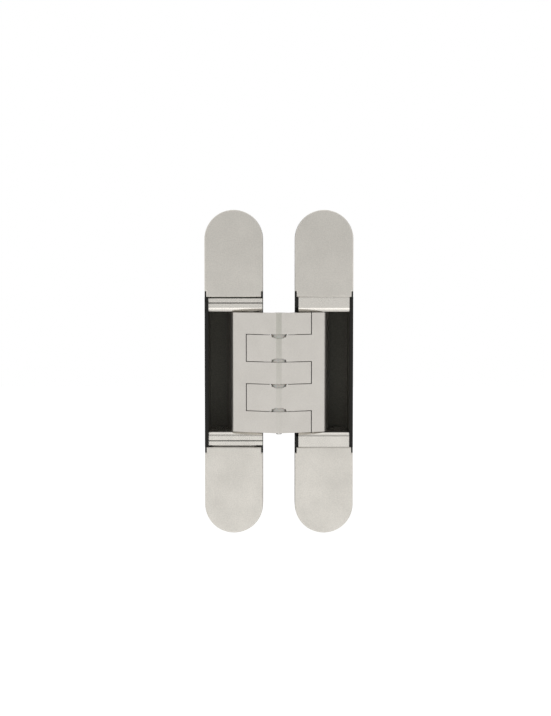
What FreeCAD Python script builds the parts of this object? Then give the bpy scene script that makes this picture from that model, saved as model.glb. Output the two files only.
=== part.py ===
import FreeCAD, Part
import math
import os
import Sketcher

doc = FreeCAD.newDocument("ConcealedHinge")
sheet = doc.addObject("Spreadsheet::Sheet", "Sizes")

# Driving sizes in millimetres and degrees. Depths are measured back from the covers' faces.
sizeRows = [
    ("leafWidth", 28.8, "width of a leaf"),
    ("leafGap", 15.7, "gap between the leaves, open"),
    ("doorGap", 4.0, "gap between the leaves when the door is shut"),
    ("housingDepth", 33.0, "depth of the housing's middle"),
    ("housingFloor", 1.8, "thickness of the housing's floor"),
    ("housingChamfer", 1.5, "chamfer round the housing's back"),
    ("endDepth", 12.0, "depth of the housing's ends, behind the covers"),
    ("deepEnd", 9.2, "how far the housing's deep middle reaches past the cavity"),
    ("deepInset", 0.3, "how far the deep middle's sides lie inside the leaf's"),
    ("sideWall", 1.7, "wall at each side of the cavity"),
    ("cavityCorner", 6.0, "radius of the cavity's corners"),
    ("endPlay", 0.3, "gap at a cavity's end with the blocks at the end of their travel"),
    ("rimSet", 0.3, "how far the housing's rim lies behind the covers' faces"),
    ("rimPlay", 0.1, "gap between the rim's end and a cover"),
    ("sillDrop", 5.4, "how far the inner side wall is lowered for the arms"),
    ("coverThick", 1.8, "thickness of a cover"),
    ("coverBack", 7.25, "from a block's inner edge to a cover's"),
    ("coverNotchLong", 2.8, "length of the notch at a cover's inner corner"),
    ("coverNotchDeep", 0.85, "depth of that notch"),
    ("coverBevel", 0.4, "bevel round a cover's face"),
    ("clipSet", 0.7, "gap between a cover's clip and the recess's wall"),
    ("clipThick", 1.1, "thickness of a clip"),
    ("clipHalf", 3.0, "half the length of a clip"),
    ("recessFloor", 5.0, "depth of the screw recess's floor"),
    ("recessWall", 2.4, "wall round the screw recess"),
    ("recessLand", 1.3, "wall between the recess and the tongue's pocket"),
    ("screwHoleRadius", 2.6, "radius of a wood screw's hole"),
    ("screwSinkRadius", 5.0, "radius of its countersink"),
    ("screwRim", 1.0, "land between a countersink and the recess's wall"),
    ("sinkLand", 0.2, "least half of the land between two countersinks"),
    ("screwTurn", 35.0, "how far the near screw is turned off the leaf's centre line, about the recess's centre"),
    ("pivotSet", 4.2, "from the cavity's side to a pivot's centre"),
    ("armTurn", 108.0, "how far an arm turns on its pivot, from open to shut"),
    ("spineSlide", 1.1, "from a spine's outside to the slide pin's centre, across"),
    ("slideBehind", 12.01, "how far the slide pin lies behind the pivot, open"),
    ("barrelRadius", 4.2, "radius of the knuckle's barrel"),
    ("flankSlope", 19.5, "slope of an arm's flank, in degrees"),
    ("flankThick", 4.6, "thickness of an arm's flank"),
    ("knuckleRoom", 1.15, "gap between a knuckle and the other arm's spine"),
    ("spineThick", 4.9, "thickness of the spine"),
    ("spineCut", 0.8, "cut at the spine's outer front edge"),
    ("spineNeck", 5.0, "how far in front of the slide pin the spine starts to narrow"),
    ("lipWide", 7.45, "from the outside of a spine to the other arm's fingers, less the slit"),
    ("fingerSlit", 0.35, "slit between a finger's end and the other arm's lip"),
    ("rowSlit", 0.3, "slit between two rows of fingers"),
    ("middleRow", 11.0, "height of the middle row"),
    ("secondRow", 13.4, "height of the second and fourth rows"),
    ("armHalf", 29.6, "half the height of an arm"),
    ("pivotRadius", 1.9, "radius of a pivot pin"),
    ("bushWall", 0.7, "wall of a pivot bush"),
    ("knuckleWall", 0.9, "wall of an arm round its bush"),
    ("centreRadius", 2.0, "radius of the centre pin"),
    ("centreSunk", 0.4, "how far the centre pin's top lies below the arms'"),
    ("centreHeadOut", 0.9, "how far the centre pin's head stands out below"),
    ("centreHeadRadius", 1.6, "radius of that head"),
    ("centreHeadChamfer", 0.5, "chamfer of that head"),
    ("washerThick", 1.7, "thickness of a washer inside its seat"),
    ("washerRadius", 4.0, "radius of a washer"),
    ("seatRadius", 4.86, "radius of a washer's seat at its mouth"),
    ("seatTaper", 0.7, "how much narrower the seat is at its floor"),
    ("slideRadius", 1.6, "radius of a slide pin"),
    ("bossRadius", 2.9, "radius of the spine's boss round the slide pin"),
    ("slideBushRadius", 2.9, "radius of a slide bush"),
    ("slideBushLong", 3.4, "length of a slide bush"),
    ("slotPlay", 0.15, "play of a slide bush in its slot, to each side"),
    ("pinShort", 0.2, "how much shorter a pivot pin is than its bores, at each end"),
    ("runningFit", 0.05, "radial clearance of a pin that turns"),
    ("blockGap", 0.35, "gap between the arms' ends and a block"),
    ("blockSide", 0.15, "gap between a block and the cavity's wall"),
    ("blockLong", 8.55, "length of a block's body"),
    ("blockFloorGap", 0.2, "gap behind a block with the door set deepest"),
    ("blockInset", 0.3, "how far a frame block's nose lies inside the leaf's side"),
    ("coverPlay", 0.2, "gap between a cover and a block beside or under it"),
    ("doorBlockFace", 0.5, "how far a door block's face lies behind the covers' faces"),
    ("lipChamfer", 2.0, "chamfer of a block's inner edge"),
    ("coverGap", 0.75, "gap between a frame block's face and the cover's inner edge"),
    ("grooveBack", 3.6, "from a cover's inner edge to the groove across a frame block"),
    ("grooveWide", 0.6, "width of that groove"),
    ("grooveDeep", 0.5, "depth of that groove"),
    ("tongueFace", 4.1, "depth of a tongue's face, under the cover"),
    ("tongueThick", 3.6, "thickness of a tongue"),
    ("tongueSet", 4.2, "from the cavity's side to a tongue's"),
    ("tongueLong", 11.5, "length of a tongue"),
    ("tongueCorner", 3.0, "radius of a tongue's corners"),
    ("heightTravel", 2.0, "height adjustment, each way"),
    ("depthTravel", 1.0, "depth adjustment, each way"),
    ("clampRadius", 2.0, "radius of a clamp screw's shank"),
    ("clampHeadRadius", 3.6, "radius of its head"),
    ("clampHeadThick", 1.0, "thickness of its head"),
    ("clampOut", 4.9, "from a block's back end to a clamp screw"),
    ("clampLong", 8.0, "length of its shank below the head"),
    ("clampPlay", 0.3, "play of the shank in a slot"),
    ("clampSeat", 0.02, "gap between a clamped tongue and the floor of its pocket"),
    ("pocketPlay", 0.3, "gap between a tongue and its pocket"),
    ("driveRadius", 1.25, "radius of a screw's hexagon recess"),
    ("driveDeep", 0.7, "depth of that recess"),
]
for number, (alias, value, note) in enumerate(sizeRows, start=1):
    sheet.set(f"A{number}", note)
    sheet.set(f"B{number}", str(value))
    sheet.setAlias(f"B{number}", alias)
doc.recompute()
size = {alias: float(sheet.get(alias)) for alias, value, note in sizeRows}


# Sizes that follow from the driving ones, as expressions
followRows = [
    ("leafCentre", "( leafWidth + leafGap ) / 2"),
    ("cavityWidth", "leafWidth - 2 * sideWall"),
    ("pivotAcross", "cavityWidth / 2 - pivotSet"),
    ("tongueHalf", "cavityWidth / 2 - tongueSet"),
    ("spinePast", "spineThick + bushRadius + knuckleWall + knuckleRoom - pivotAcross"),
    ("slideAcross", "spineSlide - spinePast"),
    ("spineReach", "leafCentre + spinePast"),
    ("fingerReach", "spineReach - lipWide"),
    ("firstSlit", "middleRow / 2"),
    ("secondSlit", "firstSlit + secondRow"),
    ("blockStart", "armHalf + blockGap"),
    ("blockEnd", "blockStart + blockLong"),
    ("blockDeep", "housingDepth - housingFloor - depthTravel - blockFloorGap"),
    ("coverEdge", "blockStart + coverBack"),
    ("cavityLength", "2 * ( blockEnd + heightTravel + endPlay )"),
    ("deepLength", "cavityLength + 2 * deepEnd"),
    ("grooveAt", "coverEdge - grooveBack"),
    ("clampAt", "blockEnd + clampOut"),
    ("tongueEnd", "blockEnd + tongueLong"),
    ("recessRadius", "leafWidth / 2 - recessWall"),
    ("recessCentre", "tongueEnd + heightTravel + pocketPlay + recessLand + recessRadius"),
    ("leafLength", "2 * ( recessCentre + leafWidth / 2 )"),
    ("screwOut", "recessRadius - screwSinkRadius - screwRim"),
    ("sinkRadius", "min ( screwSinkRadius ; screwOut * cos ( screwTurn / 2 ) - sinkLand )"),
    ("screwFar", "recessCentre + screwOut"),
    ("screwNear", "recessCentre - screwOut * cos ( screwTurn )"),
    ("screwStagger", "screwOut * sin ( screwTurn )"),
    ("slideBushStart", "blockStart + blockGap"),
    ("slideBushEnd", "slideBushStart + slideBushLong"),
    ("pinEnd", "slideBushEnd - pinShort"),
    ("bushRadius", "pivotRadius + runningFit + bushWall"),
]
follows = dict(followRows)


def cell(text):
    """An expression in which each size's bare name stands for its cell, or for the expression that it follows from."""
    words = []
    for word in text.replace("(", " ( ").replace(")", " ) ").split():
        if word in follows:
            words.append(f"( {cell(follows[word])} )")
        else:
            words.append(f"Sizes.{word}" if word in size else word)
    text = " ".join(words)
    for function in ("min", "cos", "sin"):
        text = text.replace(f"{function} (", f"{function}(")
    return text


def valueOf(text):
    return float(sheet.evalExpression(cell(text)))


for name, text in followRows:
    size[name] = valueOf(text)

# Values that follow from the linkage
leafHalf = size["leafWidth"] / 2
cavityHalf = size["cavityWidth"] / 2
centreX = size["leafCentre"]
centreDepth = -size["doorGap"] / 2
pivotDepth = (size["leafCentre"] - size["pivotAcross"]) / math.tan(math.radians(size["armTurn"] / 2)) + centreDepth
pivotFromCentre = (size["pivotAcross"] - size["leafCentre"], pivotDepth - centreDepth)
slideFromCentre = (size["slideAcross"] - size["leafCentre"], pivotDepth + size["slideBehind"] - centreDepth)
slope = math.radians(size["flankSlope"])
knuckleRadius = size["bushRadius"] + size["knuckleWall"]
lipReach = size["fingerReach"] + size["fingerSlit"]
threeRows = [
    ("-1 * armHalf", "-1 * secondSlit - rowSlit / 2"),
    ("-1 * firstSlit + rowSlit / 2", "firstSlit - rowSlit / 2"),
    ("secondSlit + rowSlit / 2", "armHalf"),
]
twoRows = [
    ("-1 * secondSlit + rowSlit / 2", "-1 * firstSlit - rowSlit / 2"),
    ("firstSlit + rowSlit / 2", "secondSlit - rowSlit / 2"),
]


def originPlane(body, role):
    for feature in body.Origin.OriginFeatures:
        if feature.Role == role:
            return feature
    raise ValueError(role)


def faceSketch(body, name, depth):
    """A sketch parallel to the leaf's face, at a depth behind it."""
    sketch = body.newObject("Sketcher::SketchObject", name)
    sketch.AttachmentSupport = [(originPlane(body, "XZ_Plane"), "")]
    sketch.MapMode = "FlatFace"
    sketch.setExpression(".AttachmentOffset.Base.z", cell(f"-1 * ( {depth} )"))
    doc.recompute()
    return sketch


def fixPoint(sketch, geometry, vertex, across, along):
    """Ties a point of a sketch to its place, given as two expressions."""
    for kind, text, axis in (("DistanceX", across, -2), ("DistanceY", along, -1)):
        value = valueOf(text)
        if abs(value) < 1e-9:
            sketch.addConstraint(Sketcher.Constraint("PointOnObject", geometry, vertex, axis))
        elif value > 0:
            index = sketch.addConstraint(Sketcher.Constraint(kind, -1, 1, geometry, vertex, value))
            sketch.setExpression(f"Constraints[{index}]", cell(text))
        else:
            index = sketch.addConstraint(Sketcher.Constraint(kind, geometry, vertex, -1, 1, -value))
            sketch.setExpression(f"Constraints[{index}]", cell(f"-1 * ( {text} )"))


def polygon(sketch, corners):
    """A closed outline through corners given as pairs of expressions."""
    points = []
    for across, along in corners:
        x = valueOf(across)
        z = valueOf(along)
        points.append(FreeCAD.Vector(x, z, 0))
    first = sketch.GeometryCount
    for number, point in enumerate(points):
        sketch.addGeometry(Part.LineSegment(point, points[(number + 1) % len(points)]), False)
    for number, (across, along) in enumerate(corners):
        following = first + (number + 1) % len(points)
        sketch.addConstraint(Sketcher.Constraint("Coincident", first + number, 2, following, 1))
        fixPoint(sketch, first + number, 1, across, along)


def rectangle(sketch, low, high, bottom, top):
    polygon(sketch, [(low, bottom), (high, bottom), (high, top), (low, top)])


def stadium(sketch, radius, bottom, top):
    """A slot outline along Z, centred on x = 0, between two arc centres."""
    r = valueOf(radius)
    low = valueOf(bottom)
    high = valueOf(top)
    up = FreeCAD.Vector(0, 0, 1)
    first = sketch.GeometryCount
    sketch.addGeometry(Part.ArcOfCircle(Part.Circle(FreeCAD.Vector(0, high, 0), up, r), 0, math.pi), False)
    sketch.addGeometry(Part.LineSegment(FreeCAD.Vector(-r, high, 0), FreeCAD.Vector(-r, low, 0)), False)
    sketch.addGeometry(Part.ArcOfCircle(Part.Circle(FreeCAD.Vector(0, low, 0), up, r), math.pi, 2 * math.pi), False)
    sketch.addGeometry(Part.LineSegment(FreeCAD.Vector(r, low, 0), FreeCAD.Vector(r, high, 0)), False)
    for one, vertex, other, otherVertex in ((0, 2, 1, 1), (1, 2, 2, 1), (2, 2, 3, 1), (3, 2, 0, 1)):
        sketch.addConstraint(Sketcher.Constraint("Tangent", first + one, vertex, first + other, otherVertex))
    fixPoint(sketch, first, 3, "0", top)
    fixPoint(sketch, first + 2, 3, "0", bottom)
    index = sketch.addConstraint(Sketcher.Constraint("Radius", first, r))
    sketch.setExpression(f"Constraints[{index}]", cell(radius))


def roundedRectangle(sketch, halfWide, halfLong, corner):
    """A rectangle centred on the origin, with round corners."""
    wide = valueOf(halfWide)
    long = valueOf(halfLong)
    r = valueOf(corner)
    up = FreeCAD.Vector(0, 0, 1)
    first = sketch.GeometryCount
    turns = [(1, 1), (-1, 1), (-1, -1), (1, -1)]
    for number, (across, along) in enumerate(turns):
        middle = FreeCAD.Vector(across * (wide - r), along * (long - r), 0)
        start = number * math.pi / 2
        arc = Part.ArcOfCircle(Part.Circle(middle, up, r), start, start + math.pi / 2)
        sketch.addGeometry(arc, False)
        sides = {
            0: ((wide - r, long), (r - wide, long)),
            1: ((-wide, long - r), (-wide, r - long)),
            2: ((r - wide, -long), (wide - r, -long)),
            3: ((wide, r - long), (wide, long - r)),
        }
        one, other = sides[number]
        sketch.addGeometry(Part.LineSegment(FreeCAD.Vector(*one, 0), FreeCAD.Vector(*other, 0)), False)
    for number, (across, along) in enumerate(turns):
        arc = first + 2 * number
        following = first + (2 * number + 2) % 8
        sketch.addConstraint(Sketcher.Constraint("Tangent", arc, 2, arc + 1, 1))
        sketch.addConstraint(Sketcher.Constraint("Tangent", arc + 1, 2, following, 1))
        fixPoint(sketch, arc, 3, f"{across} * ( {halfWide} - {corner} )", f"{along} * ( {halfLong} - {corner} )")
        index = sketch.addConstraint(Sketcher.Constraint("Radius", arc, r))
        sketch.setExpression(f"Constraints[{index}]", cell(corner))


def circle(sketch, across, along, radius):
    x = valueOf(across)
    z = valueOf(along)
    r = valueOf(radius)
    number = sketch.addGeometry(Part.Circle(FreeCAD.Vector(x, z, 0), FreeCAD.Vector(0, 0, 1), r), False)
    fixPoint(sketch, number, 3, across, along)
    index = sketch.addConstraint(Sketcher.Constraint("Radius", number, r))
    sketch.setExpression(f"Constraints[{index}]", cell(radius))


def pad(body, name, sketch, length):
    feature = body.newObject("PartDesign::Pad", name)
    feature.Profile = sketch
    feature.Reversed = True
    feature.setExpression("Length", cell(length))
    doc.recompute()
    return feature


def pocket(body, name, sketch, length):
    before = body.Shape.Volume
    feature = body.newObject("PartDesign::Pocket", name)
    feature.Profile = sketch
    feature.setExpression("Length", cell(length))
    doc.recompute()
    if body.Shape.Volume >= before:
        raise ValueError(f"{name} cuts nothing")
    return feature


def edgesWhere(shape, test):
    return [f"Edge{number}" for number, edge in enumerate(shape.Edges, start=1) if test(edge)]


def liesAt(edge, axis, value):
    """Whether a whole edge lies at one value of x, y or z."""
    box = edge.BoundBox
    low = getattr(box, f"{axis}Min")
    high = getattr(box, f"{axis}Max")
    return abs(low - value) < 1e-4 and abs(high - value) < 1e-4


def fillet(body, name, kind, test, radius):
    base = body.Tip
    edges = edgesWhere(base.Shape, test)
    feature = body.newObject(f"PartDesign::{kind}", name)
    feature.Base = (base, edges)
    feature.setExpression("Radius" if kind == "Fillet" else "Size", cell(radius))
    body.Tip = feature
    doc.recompute()
    return feature


parts = []


def keep(feature, label):
    """Lists a finished sub-part, and moves it so that the origin is where the frame leaf's ends seat on the wood."""
    feature.Label = label
    toSeat = FreeCAD.Placement(FreeCAD.Vector(0, -size["endDepth"], 0), FreeCAD.Rotation())
    feature.Placement = toSeat.multiply(feature.Placement)
    parts.append(feature)
    return feature


doorPlacement = FreeCAD.Placement(
    FreeCAD.Vector(2 * centreX, 0, 0), FreeCAD.Rotation(FreeCAD.Vector(0, 1, 0), 180)
)


def makeHousing(label, placement, sillReach, tongueRoom):
    """A cast housing: shallow rounded ends, a deep rounded middle, the cavity, and what the covers hide."""
    body = doc.addObject("PartDesign::Body", f"{label}Body")
    outline = faceSketch(body, f"{label}Outline", "coverThick")
    stadium(outline, "leafWidth / 2", "-1 * recessCentre", "recessCentre")
    pad(body, f"{label}Ends", outline, "endDepth - coverThick")
    rim = faceSketch(body, f"{label}RimOutline", "rimSet")
    rimEnd = "coverEdge - rimPlay"
    rectangle(rim, "-1 * leafWidth / 2", "leafWidth / 2", f"-1 * ( {rimEnd} )", rimEnd)
    pad(body, f"{label}Rim", rim, "endDepth - rimSet")
    deep = faceSketch(body, f"{label}DeepOutline", "endDepth - 1")
    stadium(deep, "leafWidth / 2 - deepInset", "( leafWidth - deepLength ) / 2", "( deepLength - leafWidth ) / 2")
    pad(body, f"{label}Deep", deep, "housingDepth - endDepth + 1")
    fillet(body, f"{label}Back", "Chamfer", lambda edge: liesAt(edge, "Y", size["housingDepth"]), "housingChamfer")
    cavity = faceSketch(body, f"{label}CavityOutline", "0")
    roundedRectangle(cavity, "cavityWidth / 2", "cavityLength / 2", "cavityCorner")
    pocket(body, f"{label}Cavity", cavity, "housingDepth - housingFloor")
    shoulder = faceSketch(body, f"{label}ShoulderOutline", "0")
    rectangle(shoulder, "-1 * cavityWidth / 2", "cavityWidth / 2", "-1 * cavityLength / 2", "cavityLength / 2")
    pocket(body, f"{label}Shoulder", shoulder, "coverThick + coverPlay + lipChamfer + depthTravel + pocketPlay")
    sill = faceSketch(body, f"{label}SillOutline", "0")
    rectangle(sill, "cavityWidth / 2 - 1", "leafWidth / 2 + 1", f"-1 * ( {sillReach} )", sillReach)
    pocket(body, f"{label}Sill", sill, "sillDrop")
    for name, sign in (("Top", 1), ("Bottom", -1)):
        tongue = faceSketch(body, f"{label}{name}TongueOutline", "coverThick")
        start = f"{sign} * ( cavityLength / 2 - 1 )"
        end = f"{sign} * ( tongueEnd + heightTravel + pocketPlay )"
        half = "( tongueHalf + pocketPlay )"
        rectangle(tongue, f"-1 * {half}", half, *((start, end) if sign > 0 else (end, start)))
        pocket(body, f"{label}{name}Tongue", tongue, f"tongueFace + tongueThick - coverThick + {tongueRoom}")
        clamp = faceSketch(body, f"{label}{name}ClampHole", "tongueFace + tongueThick")
        circle(clamp, "0", f"{sign} * clampAt", "clampRadius + runningFit")
        pocket(body, f"{label}{name}Clamp", clamp, "endDepth")
        recess = faceSketch(body, f"{label}{name}RecessOutline", "coverThick")
        circle(recess, "0", f"{sign} * recessCentre", "recessRadius")
        pocket(body, f"{label}{name}Recess", recess, "recessFloor - coverThick")
        for which, across, along in (
            ("Near", "screwStagger", f"{sign} * screwNear"),
            ("Far", "0", f"{sign} * screwFar"),
        ):
            hole = faceSketch(body, f"{label}{name}{which}ScrewHole", "recessFloor")
            circle(hole, across, along, "screwHoleRadius")
            pocket(body, f"{label}{name}{which}Screw", hole, "endDepth")
    sinkAt = [(size["screwStagger"], sign * size["screwNear"]) for sign in (1, -1)]
    sinkAt += [(0, sign * size["screwFar"]) for sign in (1, -1)]

    def isSink(edge):
        box = edge.BoundBox
        centre = (box.Center.x, box.Center.z)
        near = any(math.dist(centre, place) < 0.01 for place in sinkAt)
        return near and liesAt(edge, "Y", size["recessFloor"])

    fillet(body, f"{label}Sinks", "Chamfer", isSink, "sinkRadius - screwHoleRadius")
    body.Placement = placement
    return keep(body, label)


makeHousing("frame_housing", FreeCAD.Placement(), "blockEnd + heightTravel + coverPlay", "clampSeat")
makeHousing("door_housing", doorPlacement, "armHalf + heightTravel + blockGap", "depthTravel + pocketPlay")


def makeCover(label, placement):
    """A satin cover with a bevelled face, notched inner corners, and two clips that reach into the recess."""
    body = doc.addObject("PartDesign::Body", f"{label}Body")
    outline = faceSketch(body, f"{label}Outline", "0")
    stadium(outline, "leafWidth / 2", "coverEdge", "recessCentre")
    pad(body, f"{label}Plate", outline, "coverThick")
    inner = faceSketch(body, f"{label}InnerEdge", "0")
    low = "coverEdge - leafWidth"
    inset = "leafWidth / 2 - coverNotchDeep"
    wide = "leafWidth / 2 + 1"
    corner = "coverEdge + coverNotchLong"
    polygon(
        inner,
        [
            (f"-1 * ( {wide} )", low),
            (wide, low),
            (wide, corner),
            (inset, corner),
            (inset, "coverEdge"),
            (f"-1 * ( {inset} )", "coverEdge"),
            (f"-1 * ( {inset} )", corner),
            (f"-1 * ( {wide} )", corner),
        ],
    )
    pocket(body, f"{label}InnerCut", inner, "coverThick")
    fillet(body, f"{label}Bevel", "Chamfer", lambda edge: liesAt(edge, "Y", 0), "coverBevel")
    clips = faceSketch(body, f"{label}ClipOutline", "coverThick - coverPlay")
    for sign in (1, -1):
        outer = f"{sign} * ( recessRadius - clipSet )"
        near = f"{sign} * ( recessRadius - clipSet - clipThick )"
        ends = (near, outer) if sign > 0 else (outer, near)
        rectangle(clips, *ends, "recessCentre - clipHalf", "recessCentre + clipHalf")
    pad(body, f"{label}Clips", clips, "recessFloor - coverThick")
    body.Placement = placement
    return keep(body, label)


flipped = FreeCAD.Rotation(FreeCAD.Vector(0, 1, 0), 180)
makeCover("frame_cover_top", FreeCAD.Placement())
makeCover("frame_cover_bottom", FreeCAD.Placement(FreeCAD.Vector(0, 0, 0), flipped))
makeCover("door_cover_top", FreeCAD.Placement(FreeCAD.Vector(2 * centreX, 0, 0), FreeCAD.Rotation()))
makeCover("door_cover_bottom", doorPlacement)


def place(side, across, depth, height=0.0):
    """A point given from the knuckle's centre, where side is -1 for the frame's side and 1 for the door's."""
    return FreeCAD.Vector(centreX + side * across, centreDepth + depth, height)


def prism(points, low, high):
    """A solid between two heights, on an outline of points."""
    flat = [FreeCAD.Vector(point.x, point.y, low) for point in points]
    face = Part.Face(Part.makePolygon(flat + flat[:1]))
    return face.extrude(FreeCAD.Vector(0, 0, high - low))


def rod(point, radius, low, high):
    return Part.makeCylinder(radius, high - low, FreeCAD.Vector(point.x, point.y, low), FreeCAD.Vector(0, 0, 1))


def flankTop(across):
    """Depth of a flank's front, from the centre pin, at a distance across from it."""
    return (across * math.sin(slope) - size["barrelRadius"]) / math.cos(slope)


def fingerSolid(side, low, high):
    """One finger: the barrel, the flank that is tangent to it, and the knuckle on the pivot pin with its web."""
    reach = size["fingerReach"]
    under = size["flankThick"] / math.cos(slope)
    touch = size["barrelRadius"] * math.sin(slope)
    barrel = rod(place(side, 0, 0), size["barrelRadius"], low, high)
    tip = [
        (-touch, -size["barrelRadius"] * math.cos(slope)),
        (-reach, flankTop(reach)),
        (-reach, flankTop(reach) + under),
        (0, flankTop(0) + under),
    ]
    flank = prism([place(side, across, depth) for across, depth in tip], low, high)
    pivot = pivotFromCentre
    web = [
        (-reach, flankTop(reach) + under / 2),
        (pivot[0] - knuckleRadius, pivot[1]),
        (pivot[0] + knuckleRadius, pivot[1]),
        (pivot[0] + knuckleRadius, flankTop(-pivot[0] - knuckleRadius) + under / 2),
    ]
    arm = barrel.fuse([flank, prism([place(side, *corner) for corner in web], low, high)])
    knuckle = rod(place(side, *pivot), knuckleRadius, low, high)
    return arm.fuse(knuckle)


def spineSolid(side):
    """The spine: the outer end of the flank, the wall that reaches down, and the boss round the slide pin."""
    under = size["flankThick"] / math.cos(slope)
    outside = size["spineReach"]
    inside = outside - size["spineThick"]
    slide = slideFromCentre
    corners = [
        (-outside + size["spineCut"], flankTop(outside - size["spineCut"])),
        (-lipReach, flankTop(lipReach)),
        (-lipReach, flankTop(lipReach) + under * 0.8),
        (-inside, flankTop(inside) + under * 1.2),
        (-inside, slide[1] - size["spineNeck"]),
        (slide[0] + size["bossRadius"], slide[1]),
        (slide[0] - size["bossRadius"], slide[1]),
        (-outside, slide[1] - size["spineNeck"]),
        (-outside, flankTop(outside) + size["spineCut"]),
    ]
    points = [place(side, across, depth) for across, depth in corners]
    wall = prism(points, -size["armHalf"], size["armHalf"])
    boss = rod(place(side, *slide), size["bossRadius"], -size["armHalf"], size["armHalf"])
    return wall.fuse(boss)


def flankRoot(side, low, high):
    """The flank of a finger's own arm, from the barrel to the spine."""
    outside = size["spineReach"] - size["spineCut"]
    under = size["flankThick"] / math.cos(slope)
    touch = size["barrelRadius"] * math.sin(slope)
    corners = [
        (-touch, -size["barrelRadius"] * math.cos(slope)),
        (-outside, flankTop(outside)),
        (-outside, flankTop(outside) + under),
        (0, flankTop(0) + under),
    ]
    return prism([place(side, *corner) for corner in corners], low, high)


def armSolid(side, rows, centreBore, seats):
    """An arm whose spine lies on one side and whose fingers reach across to the other side's pivot."""
    solid = spineSolid(side)
    heights = [(valueOf(low), valueOf(high)) for low, high in rows]
    for low, high in heights:
        solid = solid.fuse([fingerSolid(-side, low, high), flankRoot(side, low, high)])
    past = size["armHalf"] + 1
    centre = place(side, 0, 0)
    solid = solid.cut(rod(centre, centreBore, -past, past))
    pivot = place(-side, *pivotFromCentre)
    solid = solid.cut(rod(pivot, size["bushRadius"], -past, past))
    slide = place(side, *slideFromCentre)
    solid = solid.cut(rod(slide, size["slideRadius"], -past, past))
    if seats:
        for low, high in heights:
            for end, way in ((low, 1), (high, -1)):
                mouth = FreeCAD.Vector(centre.x, centre.y, end - way * 0.01)
                floor = size["seatRadius"] - size["seatTaper"]
                cone = Part.makeCone(
                    size["seatRadius"], floor, size["washerThick"] + 0.01, mouth, FreeCAD.Vector(0, 0, way)
                )
                solid = solid.cut(cone)
    return solid.removeSplitter()


def addFeature(label, shape):
    feature = doc.addObject("Part::Feature", f"{label}Shape")
    feature.Shape = shape
    return keep(feature, label)


frameSide = 1
doorSide = -1
addFeature("three_finger_arm", armSolid(frameSide, threeRows, size["centreRadius"], False))
addFeature("two_finger_arm", armSolid(doorSide, twoRows, size["centreRadius"] + size["runningFit"], True))


def slidePath(count=9):
    """Places of the slide pin in the frame leaf, from open to shut, found by turning the linkage."""
    pivot = (size["pivotAcross"], pivotDepth)
    path = []
    for number in range(count):
        turn = -math.radians(size["armTurn"] * number / (count - 1))
        across = centreX - pivot[0]
        depth = centreDepth - pivot[1]
        pin = (
            pivot[0] + across * math.cos(turn) - depth * math.sin(turn),
            pivot[1] + across * math.sin(turn) + depth * math.cos(turn),
        )
        half = turn * 2 / 3
        across, depth = slideFromCentre
        path.append(
            (
                pin[0] + across * math.cos(half) - depth * math.sin(half),
                pin[1] + across * math.sin(half) + depth * math.cos(half),
            )
        )
    return path


def unfolded(points, tangents):
    """A slot's side without the points where a tight bend would fold it back on itself."""
    kept = points[:1]
    for point, tangent in zip(points[1:-1], tangents[1:-1]):
        if (point - kept[-1]).dot(tangent) > size["slotPlay"]:
            kept.append(point)
    while len(kept) > 1 and (points[-1] - kept[-1]).dot(tangents[-1]) <= size["slotPlay"]:
        kept.pop()
    return kept + points[-1:]


def slotSolid(low, high, play):
    """The slot that a slide bush runs in: both sides follow the pin's path, with a round end at each end of it."""
    half = size["slideBushRadius"] + play
    path = [FreeCAD.Vector(across, depth, low) for across, depth in slidePath()]
    curve = Part.BSplineCurve()
    curve.interpolate(path)
    tangents = [curve.tangent(curve.parameter(point))[0] for point in path]
    normals = [FreeCAD.Vector(-tangent.y, tangent.x, 0).normalize() for tangent in tangents]
    left = unfolded([point + normal * half for point, normal in zip(path, normals)], tangents)
    right = unfolded([point - normal * half for point, normal in zip(path, normals)], tangents)
    first = tangents[0]
    last = tangents[-1]
    sideOne = Part.BSplineCurve()
    sideOne.interpolate(left)
    sideTwo = Part.BSplineCurve()
    sideTwo.interpolate(right)
    endArc = Part.Arc(left[-1], path[-1] + last * half, right[-1])
    startArc = Part.Arc(left[0], path[0] - first * half, right[0])
    wire = Part.Wire(Part.__sortEdges__([side.toShape() for side in (sideOne, endArc, sideTwo, startArc)]))
    return Part.Face(wire).extrude(FreeCAD.Vector(0, 0, high - low))


def toLeaf(side, solid):
    """Moves a solid made in the frame leaf's place to its leaf, mirrored about the knuckle's plane for the door's."""
    if side == frameSide:
        return solid
    return solid.mirror(FreeCAD.Vector(centreX, 0, 0), FreeCAD.Vector(1, 0, 0))


def toEnd(sign, solid):
    """Turns a solid made for the top end into the bottom one's."""
    return solid if sign > 0 else solid.mirror(FreeCAD.Vector(0, 0, 0), FreeCAD.Vector(0, 0, 1))


def box(xLow, xHigh, yLow, yHigh, zLow, zHigh):
    return Part.makeBox(xHigh - xLow, yHigh - yLow, zHigh - zLow, FreeCAD.Vector(xLow, yLow, zLow))


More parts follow.
